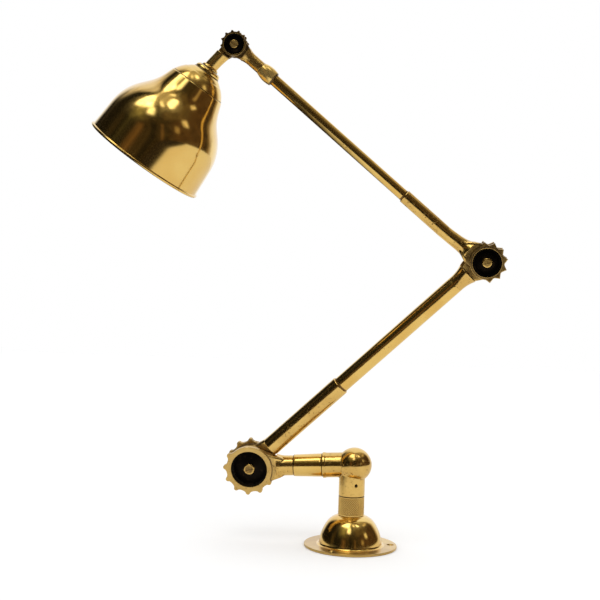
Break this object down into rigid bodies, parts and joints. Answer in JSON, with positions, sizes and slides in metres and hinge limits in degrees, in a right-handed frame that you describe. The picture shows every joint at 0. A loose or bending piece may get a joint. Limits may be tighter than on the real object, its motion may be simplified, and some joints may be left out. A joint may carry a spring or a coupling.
{
  "type": "articulating wall lamp",
  "caption": "Brass wall or bench lamp with a domed screw flange, swivelling column and stem, two arms on toothed disc hinges, and a bell shade over a bayonet lampholder.",
  "frame": {"origin": "centre of the flange's underside, where it meets the wall or bench", "axes": "+Z away from the mounting surface along the column, -X towards the first hinge, -Y towards the viewer of the picture"},
  "size_m": [0.453, 0.1914, 0.5654],
  "materials": {
    "polished_brass": "polished, lacquered, dark reflections",
    "matte_brass": "turned and knurled, satin",
    "cast_brass": "cast and buffed, small pits",
    "blackened_steel": "blackened, satin",
    "steel": "plain turned steel",
    "friction_fibre": "pressed fibre",
    "insulator": "moulded phenolic"
  },
  "bodies": {
    "base": {"base_flange": "polished_brass", "base_spigot": "cast_brass", "base_washer": "steel", "base_locknut": "steel"},
    "collar": {"knurled_collar": "matte_brass"},
    "leg": {"elbow_casting": "matte_brass", "leg_retaining_screw": "steel", "socket_retaining_screw": "steel"},
    "stem": {"stem_spigot": "cast_brass", "taper_sleeve": "polished_brass", "stem_knuckle": "cast_brass", "lower_joint_bolt": "cast_brass", "lower_joint_front_washer": "blackened_steel", "lower_joint_rear_washer": "blackened_steel", "lower_joint_friction_ring": "friction_fibre", "lower_joint_nut": "steel"},
    "lower_arm": {"lower_arm_knuckle": "cast_brass", "lower_arm_tube": "polished_brass", "elbow_rear_knuckle": "cast_brass"},
    "upper_arm": {"elbow_front_knuckle": "cast_brass", "upper_arm_tube": "polished_brass", "ferrule": "polished_brass", "elbow_joint_bolt": "cast_brass", "elbow_joint_front_washer": "blackened_steel", "elbow_joint_rear_washer": "blackened_steel", "elbow_joint_friction_ring": "friction_fibre", "elbow_joint_nut": "steel"},
    "top_link": {"top_arm_knuckle": "cast_brass", "top_joint_bolt": "cast_brass", "top_joint_front_washer": "blackened_steel", "top_joint_rear_washer": "blackened_steel", "top_joint_friction_ring": "friction_fibre", "top_joint_nut": "steel"},
    "head": {"head_knuckle": "cast_brass", "gallery_cap": "polished_brass", "gallery_nut": "steel", "shade": "polished_brass", "lampholder_cap": "polished_brass", "lampholder_barrel": "polished_brass", "shade_ring": "polished_brass", "contact_block": "insulator", "left_plunger_spring": "steel", "right_plunger_spring": "steel"},
    "left_contact": {"left_plunger": "cast_brass"},
    "right_contact": {"right_plunger": "cast_brass"}
  },
  "joints": [
    {"name": "column_swivel", "type": "hinge", "parent": "base", "child": "leg", "pos_m": [0, 0, 0], "axis": [0, 0, 1], "range_deg": [-170, 170]},
    {"name": "collar_turn", "type": "hinge", "parent": "base", "child": "collar", "pos_m": [0, 0, 0], "axis": [0, 0, 1], "range_deg": [-30, 30]},
    {"name": "stem_swivel", "type": "hinge", "parent": "leg", "child": "stem", "pos_m": [0, 0, 0.092], "axis": [-0.9981, 0, -0.061], "range_deg": [-90, 90]},
    {"name": "lower_hinge", "type": "hinge", "parent": "stem", "child": "lower_arm", "pos_m": [-0.11678, 0, 0.08486], "axis": [0.0101, -0.9863, -0.1647], "range_deg": [0, 140]},
    {"name": "elbow_hinge", "type": "hinge", "parent": "lower_arm", "child": "upper_arm", "pos_m": [0.14177, -0.03724, 0.32364], "axis": [-0.0101, 0.9863, 0.1647], "range_deg": [-5, 150]},
    {"name": "head_swivel", "type": "hinge", "parent": "upper_arm", "child": "top_link", "pos_m": [-0.09131, -0.07134, 0.51352], "axis": [-0.7576, -0.1151, 0.6426], "range_deg": [-90, 90]},
    {"name": "top_hinge", "type": "hinge", "parent": "top_link", "child": "head", "pos_m": [-0.13418, -0.07785, 0.54989], "axis": [-0.0579, 0.9923, 0.1095], "range_deg": [-10, 150]},
    {"name": "left_contact_travel", "type": "slide", "parent": "head", "child": "left_contact", "axis": [0.5859, -0.055, 0.8085], "range_m": [0, 0.0025], "stiffness_N_per_m": 1500, "springref_m": -0.002, "deforming": ["left_plunger_spring"]},
    {"name": "right_contact_travel", "type": "slide", "parent": "head", "child": "right_contact", "axis": [0.5859, -0.055, 0.8085], "range_m": [0, 0.0025], "stiffness_N_per_m": 1500, "springref_m": -0.002, "deforming": ["right_plunger_spring"]}
  ]
}
